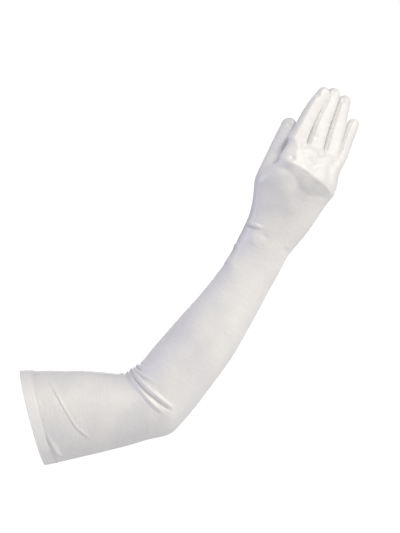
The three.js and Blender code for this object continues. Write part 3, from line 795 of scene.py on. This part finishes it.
def stitches_mesh(surface):
    """A row of short stitches round the hem, each bent into the cloth at both ends."""
    near = np.flatnonzero(np.abs(surface["row"] - HEM_STITCH_ROW) < STITCH_SEARCH)
    tree = search_tree(surface, near)
    degrees = np.arange(STITCHES) * 360 / STITCHES
    places = round_points(np.full(STITCHES, HEM_STITCH_ROW), degrees)
    nearest = [tree.find(place)[1] for place in places]
    out = surface["normals"][nearest]
    lifts = ((surface["points"][nearest] - places) * out).sum(axis=1)
    places = places + out * (lifts + HEM_PROUD + STITCH_LIFT)[:, None]
    along = unit(np.roll(places, -1, axis=0) - np.roll(places, 1, axis=0))
    aside = np.cross(along, out)
    steps = np.linspace(-1, 1, STITCH_RINGS)
    angle = np.arange(STITCH_SIDES) * 2 * np.pi / STITCH_SIDES
    middle = places[:, None] + along[:, None] * (steps * STITCH_LENGTH / 2)[:, None]
    middle = middle - out[:, None] * (STITCH_BEND * steps ** 2)[:, None]
    thick = STITCH_RADIUS * np.sqrt(1 - (STITCH_TAPER * steps) ** 2)
    round_way = out[:, None] * np.cos(angle)[:, None] + aside[:, None] * np.sin(angle)[:, None]
    points = middle[:, :, None] + round_way[:, None] * thick[:, None, None]
    i, j = np.meshgrid(np.arange(STITCH_RINGS - 1), np.arange(STITCH_SIDES), indexing="ij")
    following = (j + 1) % STITCH_SIDES
    low, high = i * STITCH_SIDES, (i + 1) * STITCH_SIDES
    sides = np.stack([low + j, high + j, high + following, low + following], -1).reshape(-1, 4)
    faces = []
    for start in range(0, STITCHES * STITCH_RINGS * STITCH_SIDES, STITCH_RINGS * STITCH_SIDES):
        faces += (sides + start).tolist()
        faces.append(list(range(start, start + STITCH_SIDES)))
        end = start + STITCH_RINGS * STITCH_SIDES
        faces.append(list(range(end - 1, end - STITCH_SIDES - 1, -1)))
    mesh = bpy.data.meshes.new("hem_stitches")
    mesh.from_pydata(points.reshape(-1, 3) * MM, [], faces)
    mesh.shade_smooth()
    return mesh


def fill(tree, sockets, values):
    """Links or sets some of a node's inputs."""
    for name, value in values.items():
        if isinstance(value, bpy.types.NodeSocket):
            tree.links.new(value, sockets[name])
        else:
            sockets[name].default_value = value


def add_node(tree, kind, inputs, **settings):
    """A new node with these inputs and settings, as its outputs."""
    node = tree.nodes.new(f"ShaderNode{kind}")
    for name, value in settings.items():
        setattr(node, name, value)
    fill(tree, node.inputs, inputs)
    return node.outputs


def math_node(tree, operation, first, second=0):
    return add_node(tree, "Math", {0: first, 1: second}, operation=operation)["Value"]


def weighted(tree, *terms):
    """The sum of some values, each times its weight."""
    total = 0
    for value, weight in terms:
        total = math_node(tree, "ADD", total, math_node(tree, "MULTIPLY", value, weight))
    return total


def dot(tree, vector, way):
    return add_node(tree, "VectorMath", {0: vector, 1: way}, operation="DOT_PRODUCT")["Value"]


def noise(tree, vector, scale, detail):
    return add_node(tree, "TexNoise", {"Vector": vector, "Scale": scale, "Detail": detail})["Fac"]


def streaks(tree, vector, factors):
    """Noise with a scale of its own along each axis."""
    drawn = add_node(tree, "VectorMath", {0: vector, 1: factors}, operation="MULTIPLY")["Vector"]
    return noise(tree, drawn, scale=1, detail=2)


def rescaled(tree, value, old, new=(0, 1)):
    """A value moved from one range to another, and held inside it."""
    ends = {"Value": value, "From Min": old[0], "From Max": old[1], "To Min": new[0], "To Max": new[1]}
    return add_node(tree, "MapRange", ends)["Result"]


def fade(tree, distance, width):
    """1 at no distance, and smoothly down to 0 at the width."""
    ends = {"Value": distance, "From Max": width * MM, "To Min": 1, "To Max": 0}
    return add_node(tree, "MapRange", ends, interpolation_type="SMOOTHSTEP")["Result"]


def mixed(tree, share, first, second):
    """A colour between two. Sockets 6 and 7 are the mix node's colours."""
    return add_node(tree, "Mix", {0: share, 6: (*first, 1), 7: (*second, 1)}, data_type="RGBA")[2]


def bumps(tree, height):
    return add_node(tree, "Bump", {"Height": height, "Distance": RELIEF * MM, "Strength": 1})["Normal"]


def new_material(name):
    material = bpy.data.materials.new(name)
    material.use_nodes = True
    return material, material.node_tree


def set_shader(tree, values):
    fill(tree, tree.nodes["Principled BSDF"].inputs, values)


def side_seam(tree, cloth):
    """The height of the cloth at the seam that closes the glove along the little finger's side."""
    turn = math.radians(SIDE_SEAM_ANGLE)
    away = math_node(tree, "ABSOLUTE", dot(tree, cloth, (0, math.cos(turn), -math.sin(turn))))
    facing = dot(tree, cloth, (0, math.sin(turn), math.cos(turn)))
    along = add_node(tree, "SeparateXYZ", {0: cloth})["X"]
    groove = fade(tree, away, SIDE_SEAM_WIDTH)
    drawn = fade(tree, away, PUCKER_REACH)
    step = 2 * math.pi / (SIDE_SEAM_STEP * MM)
    waves = math_node(tree, "SINE", math_node(tree, "MULTIPLY", along, step))
    puckers = math_node(tree, "MULTIPLY", math_node(tree, "MULTIPLY", waves, drawn), SIDE_PUCKER_SHARE)
    height = math_node(tree, "SUBTRACT", puckers, groove)
    near = math_node(tree, "GREATER_THAN", facing, 0)
    below = math_node(tree, "LESS_THAN", along, SIDE_SEAM_END * MM)
    return math_node(tree, "MULTIPLY", height, math_node(tree, "MULTIPLY", near, below))


def satin(name):
    """Satin: fine ribs across the glove, thick and thin yarns, soft mottling, and a gloss that varies."""
    dull, bright, roughness, rib_step = SATINS[name]
    material, tree = new_material(name)
    cloth = add_node(tree, "Attribute", {}, attribute_name="cloth")["Vector"]
    place = add_node(tree, "TexCoord", {})["Object"]
    wave = {"Vector": cloth, "Scale": WAVE_TURN / (rib_step * MM), **RIB_WOBBLE}
    ribs = add_node(tree, "TexWave", wave, bands_direction="X")["Fac"]
    yarns = streaks(tree, cloth, YARNS)
    floats = streaks(tree, cloth, FLOATS)
    mottle = noise(tree, place, 1 / (MOTTLE * MM), detail=3)
    patches = noise(tree, place, 1 / (PATCH * MM), detail=1)

    tone = weighted(tree, (yarns, YARN_TONE), (patches, PATCH_TONE))
    relief = weighted(tree, (ribs, RIB_SHARE), (yarns, YARN_SHARE), (mottle, MOTTLE_SHARE))
    relief = math_node(tree, "ADD", relief, side_seam(tree, cloth))

    set_shader(tree, {
        "Base Color": mixed(tree, rescaled(tree, tone, TONE_RANGE), dull, bright),
        "Roughness": rescaled(tree, floats, FLOAT_RANGE, roughness),
        "Normal": bumps(tree, relief),
        "Sheen Weight": 1,
        "Sheen Roughness": SHEEN_ROUGHNESS,
    })
    return material


def thread():
    """Twisted polyester thread."""
    material, tree = new_material("thread")
    place = add_node(tree, "TexCoord", {})["Object"]
    fibres = noise(tree, place, 1 / (THREAD_GRAIN * MM), detail=2)
    set_shader(tree, {
        "Base Color": mixed(tree, fibres, *THREAD_COLOURS),
        "Normal": bumps(tree, fibres),
        "Roughness": THREAD_ROUGHNESS,
    })
    return material


def add_piece(name, mesh, material):
    piece = add_object(name, mesh)
    mesh.materials.append(material)
    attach(piece, "root")
    return piece


def make_glove():
    surface = shape(smoothed(make_cage(), LEVELS))
    looks = {slot: satin(slot) for slot in SATINS}
    for name in PIECES:
        slot = "hem_satin" if name == "cuff_hem" else "satin"
        piece = add_piece(f"{name}_cloth", piece_mesh(name, surface), looks[slot])
        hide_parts(name)
    add_piece("hem_stitches", stitches_mesh(surface), thread())


def aim(thing, target):
    thing.rotation_euler = (Vector(target) - thing.location).to_track_quat("-Z", "Y").to_euler()


def add_lamp(name, azimuth, elevation, power, colour):
    """A soft lamp that shines on the glove."""
    light = bpy.data.lights.new(name, "AREA")
    light.shape = "DISK"
    light.size = LAMP_SIZE
    light.energy = power
    light.color = colour
    lamp = add_object(name, light)
    turn, rise = math.radians(azimuth), math.radians(elevation)
    way = Vector((math.sin(turn) * math.cos(rise), -math.cos(turn) * math.cos(rise), math.sin(rise)))
    lamp.location = Vector(GLOVE_MIDDLE) + way * LAMP_DISTANCE
    aim(lamp, GLOVE_MIDDLE)


def make_floor():
    mesh = bpy.data.meshes.new("floor")
    mesh.from_pydata(FLOOR_CORNERS, [], [(0, 1, 2, 3)])
    paint, tree = new_material("floor_paint")
    set_shader(tree, {"Base Color": (*FLOOR_COLOUR, 1), "Roughness": FLOOR_ROUGHNESS})
    mesh.materials.append(paint)
    add_object("floor", mesh)


def make_world():
    """A soft sky that lights the glove, and a white backdrop that only the camera sees."""
    world = bpy.data.worlds.new("studio")
    bpy.context.scene.world = world
    world.use_nodes = True
    tree = world.node_tree
    tree.nodes.remove(tree.nodes["Background"])
    sky, backdrop = (
        add_node(tree, "Background", {"Color": (*colour, 1), "Strength": strength})["Background"]
        for colour, strength in (SKY, BACKDROP)
    )
    seen = add_node(tree, "LightPath", {})["Is Camera Ray"]
    mix = add_node(tree, "MixShader", {0: seen, 1: sky, 2: backdrop})["Shader"]
    tree.links.new(mix, tree.nodes["World Output"].inputs["Surface"])


def make_camera():
    camera = add_object("camera", bpy.data.cameras.new("camera"))
    camera.data.sensor_width = CAMERA_SENSOR
    camera.data.lens = CAMERA_LENS
    camera.location = (CAMERA_X, -CAMERA_DISTANCE, CAMERA_Z)
    aim(camera, (CAMERA_X, 0, CAMERA_Z))
    bpy.context.scene.camera = camera
    bpy.context.scene.view_settings.view_transform = "Standard"


make_glove()
make_floor()
make_world()
for lamp, (azimuth, elevation, power, colour) in LAMPS.items():
    add_lamp(lamp, azimuth, elevation, power, colour)
make_camera()

bpy.context.view_layer.update()
